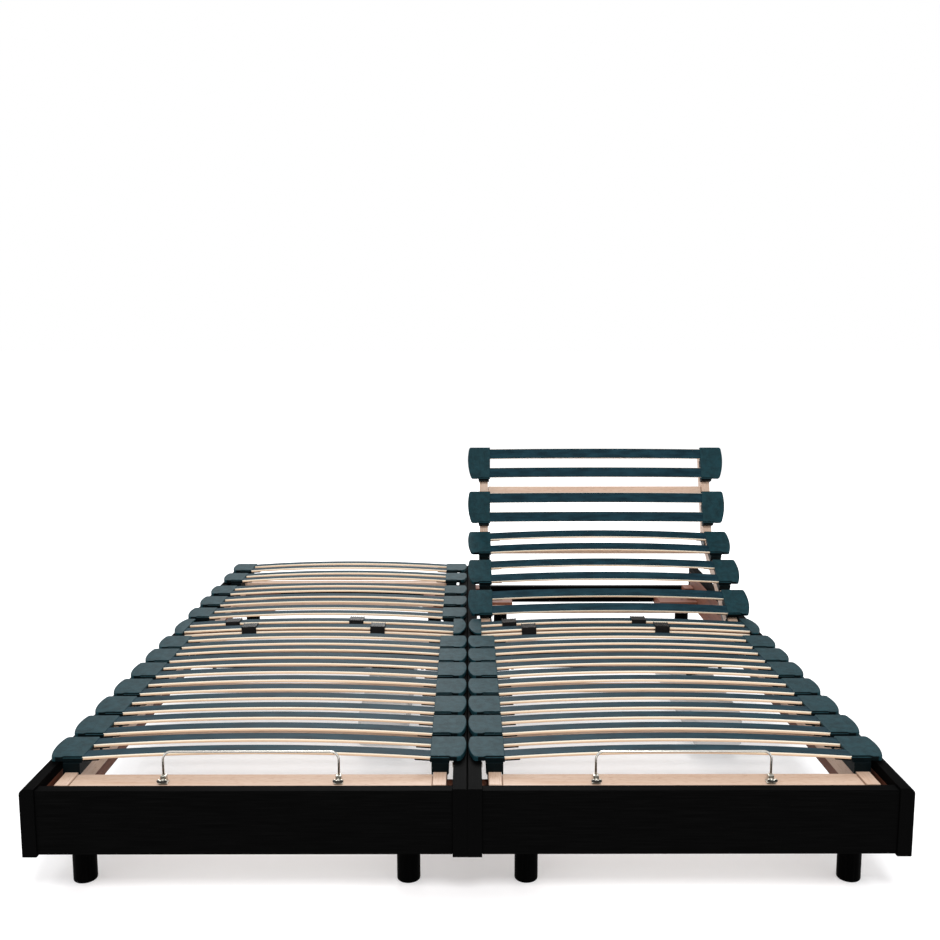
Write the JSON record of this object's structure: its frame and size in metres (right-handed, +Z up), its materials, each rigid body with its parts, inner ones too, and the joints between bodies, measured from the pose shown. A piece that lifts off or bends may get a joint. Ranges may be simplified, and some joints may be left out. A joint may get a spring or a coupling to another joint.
{
  "type": "adjustable slatted bed base",
  "caption": "Twin electric adjustable bed base: black box on round legs, beech frames with hinged back, head, thigh and calf sections, bowed slats in paired holders.",
  "frame": {"origin": "centre of the footprint, on the floor under the legs", "axes": "+X across the bed, towards the raised unit; +Y from foot to head; +Z up"},
  "size_m": [1.8, 2, 0.7596],
  "materials": {
    "stained_panel": "black stained, satin",
    "black_leg": "black lacquer, satin",
    "bare_wood": "reddish untreated wood",
    "dark_steel": "black powder coat",
    "zinc_steel": "zinc plated",
    "bright_wire": "bright wire",
    "beech": "clear satin lacquer",
    "holder_rubber": "fine grained",
    "slat_foil": "dark teal foil over cream laminations",
    "slider_plastic": "matt",
    "drive_plastic": "pale grey, fine textured"
  },
  "bodies": {
    "root": {"left_outer_side_panel": "stained_panel", "left_inner_side_panel": "stained_panel", "right_inner_side_panel": "stained_panel", "right_outer_side_panel": "stained_panel", "foot_panels": "stained_panel", "head_rails": "stained_panel", "legs": "black_leg", "corner_blocks": "bare_wood", "rest_ledges": "bare_wood", "cross_bearers": "dark_steel", "linking_bolts": "zinc_steel", "seat_frames": "beech", "lumbar_holders": "holder_rubber", "lumbar_upper_slats": "slat_foil", "lumbar_lower_slats": "beech", "drive_housings": "drive_plastic"},
    "left_back": {"left_back_frame": "beech", "left_back_hinges": "dark_steel", "left_back_holders": "holder_rubber", "left_back_slats": "slat_foil"},
    "left_head": {"left_head_frame": "beech", "left_head_holders": "holder_rubber", "left_head_slats": "slat_foil"},
    "left_thigh": {"left_thigh_frame": "beech", "left_thigh_hinges": "dark_steel", "left_thigh_holders": "holder_rubber", "left_thigh_slats": "slat_foil"},
    "left_calf": {"left_calf_frame": "beech", "left_calf_holders": "holder_rubber", "left_calf_slats": "slat_foil", "left_retainer_bar": "bright_wire", "left_bar_clamps": "zinc_steel"},
    "left_back_lift": {"left_back_lift_tube": "dark_steel"},
    "left_leg_lift": {"left_leg_lift_tube": "dark_steel"},
    "left_rear_outer_slider": {"left_rear_outer_slider": "slider_plastic"},
    "left_rear_inner_slider": {"left_rear_inner_slider": "slider_plastic"},
    "left_front_outer_slider": {"left_front_outer_slider": "slider_plastic"},
    "left_front_inner_slider": {"left_front_inner_slider": "slider_plastic"},
    "right_back": {"right_back_frame": "beech", "right_back_hinges": "dark_steel", "right_back_holders": "holder_rubber", "right_back_slats": "slat_foil"},
    "right_head": {"right_head_frame": "beech", "right_head_holders": "holder_rubber", "right_head_slats": "slat_foil"},
    "right_thigh": {"right_thigh_frame": "beech", "right_thigh_hinges": "dark_steel", "right_thigh_holders": "holder_rubber", "right_thigh_slats": "slat_foil"},
    "right_calf": {"right_calf_frame": "beech", "right_calf_holders": "holder_rubber", "right_calf_slats": "slat_foil", "right_retainer_bar": "bright_wire", "right_bar_clamps": "zinc_steel"},
    "right_back_lift": {"right_back_lift_tube": "dark_steel"},
    "right_leg_lift": {"right_leg_lift_tube": "dark_steel"},
    "right_rear_outer_slider": {"right_rear_outer_slider": "slider_plastic"},
    "right_rear_inner_slider": {"right_rear_inner_slider": "slider_plastic"},
    "right_front_outer_slider": {"right_front_outer_slider": "slider_plastic"},
    "right_front_inner_slider": {"right_front_inner_slider": "slider_plastic"}
  },
  "joints": [
    {"name": "left_back_raise", "type": "hinge", "parent": "root", "child": "left_back", "pos_m": [-0.45, 0.17, 0.211], "axis": [1, 0, 0], "range_deg": [0, 58]},
    {"name": "left_head_tilt", "type": "hinge", "parent": "left_back", "child": "left_head", "pos_m": [-0.45, 0.6695, 0.211], "axis": [1, 0, 0], "range_deg": [0, 45]},
    {"name": "left_thigh_raise", "type": "hinge", "parent": "root", "child": "left_thigh", "pos_m": [-0.45, 0.07, 0.211], "axis": [-1, 0, 0], "range_deg": [0, 32]},
    {"name": "left_knee_bend", "type": "hinge", "parent": "left_thigh", "child": "left_calf", "pos_m": [-0.45, -0.355, 0.211], "axis": [1, 0, 0], "range_deg": [0, 55.1]},
    {"name": "left_back_lift_turn", "type": "hinge", "parent": "root", "child": "left_back_lift", "pos_m": [-0.45, 0.191, 0.173], "axis": [1, 0, 0], "range_deg": [0, 58]},
    {"name": "left_leg_lift_turn", "type": "hinge", "parent": "root", "child": "left_leg_lift", "pos_m": [-0.45, 0.0595, 0.173], "axis": [-1, 0, 0], "range_deg": [0, 32]},
    {"name": "left_rear_outer_slider_shift", "type": "slide", "parent": "root", "child": "left_rear_outer_slider", "axis": [0.9995, 0, 0.0314], "range_m": [-0.071, 0.204]},
    {"name": "left_rear_inner_slider_shift", "type": "slide", "parent": "root", "child": "left_rear_inner_slider", "axis": [0.9994, 0, -0.0343], "range_m": [-0.037, 0.238]},
    {"name": "left_front_outer_slider_shift", "type": "slide", "parent": "root", "child": "left_front_outer_slider", "axis": [0.9995, 0, 0.0329], "range_m": [-0.134, 0.141]},
    {"name": "left_front_inner_slider_shift", "type": "slide", "parent": "root", "child": "left_front_inner_slider", "axis": [0.9994, 0, -0.0339], "range_m": [-0.108, 0.167]},
    {"name": "right_back_raise", "type": "hinge", "parent": "root", "child": "right_back", "pos_m": [0.45, 0.17, 0.211], "axis": [1, 0, 0], "range_deg": [-28.3, 29.7]},
    {"name": "right_head_tilt", "type": "hinge", "parent": "right_back", "child": "right_head", "pos_m": [0.45, 0.6098, 0.44781], "axis": [1, 0, 0], "range_deg": [-43.5, 1.5]},
    {"name": "right_thigh_raise", "type": "hinge", "parent": "root", "child": "right_thigh", "pos_m": [0.45, 0.07, 0.211], "axis": [-1, 0, 0], "range_deg": [0, 32]},
    {"name": "right_knee_bend", "type": "hinge", "parent": "right_thigh", "child": "right_calf", "pos_m": [0.45, -0.355, 0.211], "axis": [1, 0, 0], "range_deg": [0, 55.1]},
    {"name": "right_back_lift_turn", "type": "hinge", "parent": "root", "child": "right_back_lift", "pos_m": [0.45, 0.191, 0.173], "axis": [1, 0, 0], "range_deg": [-28.3, 29.7]},
    {"name": "right_leg_lift_turn", "type": "hinge", "parent": "root", "child": "right_leg_lift", "pos_m": [0.45, 0.0595, 0.173], "axis": [-1, 0, 0], "range_deg": [0, 32]},
    {"name": "right_rear_outer_slider_shift", "type": "slide", "parent": "root", "child": "right_rear_outer_slider", "axis": [0.9995, 0, 0.033], "range_m": [-0.025, 0.25]},
    {"name": "right_rear_inner_slider_shift", "type": "slide", "parent": "root", "child": "right_rear_inner_slider", "axis": [0.9995, 0, -0.0317], "range_m": [-0.01, 0.265]},
    {"name": "right_front_outer_slider_shift", "type": "slide", "parent": "root", "child": "right_front_outer_slider", "axis": [0.9995, 0, 0.0317], "range_m": [-0.082, 0.193]},
    {"name": "right_front_inner_slider_shift", "type": "slide", "parent": "root", "child": "right_front_inner_slider", "axis": [0.9994, 0, -0.0347], "range_m": [-0.071, 0.204]}
  ],
  "couplings": [
    {"joint": "left_knee_bend", "follows": "left_thigh_raise", "ratio": 1.72},
    {"joint": "left_back_lift_turn", "follows": "left_back_raise", "ratio": 1},
    {"joint": "left_leg_lift_turn", "follows": "left_thigh_raise", "ratio": 1},
    {"joint": "right_knee_bend", "follows": "right_thigh_raise", "ratio": 1.72},
    {"joint": "right_back_lift_turn", "follows": "right_back_raise", "ratio": 1},
    {"joint": "right_leg_lift_turn", "follows": "right_thigh_raise", "ratio": 1}
  ]
}
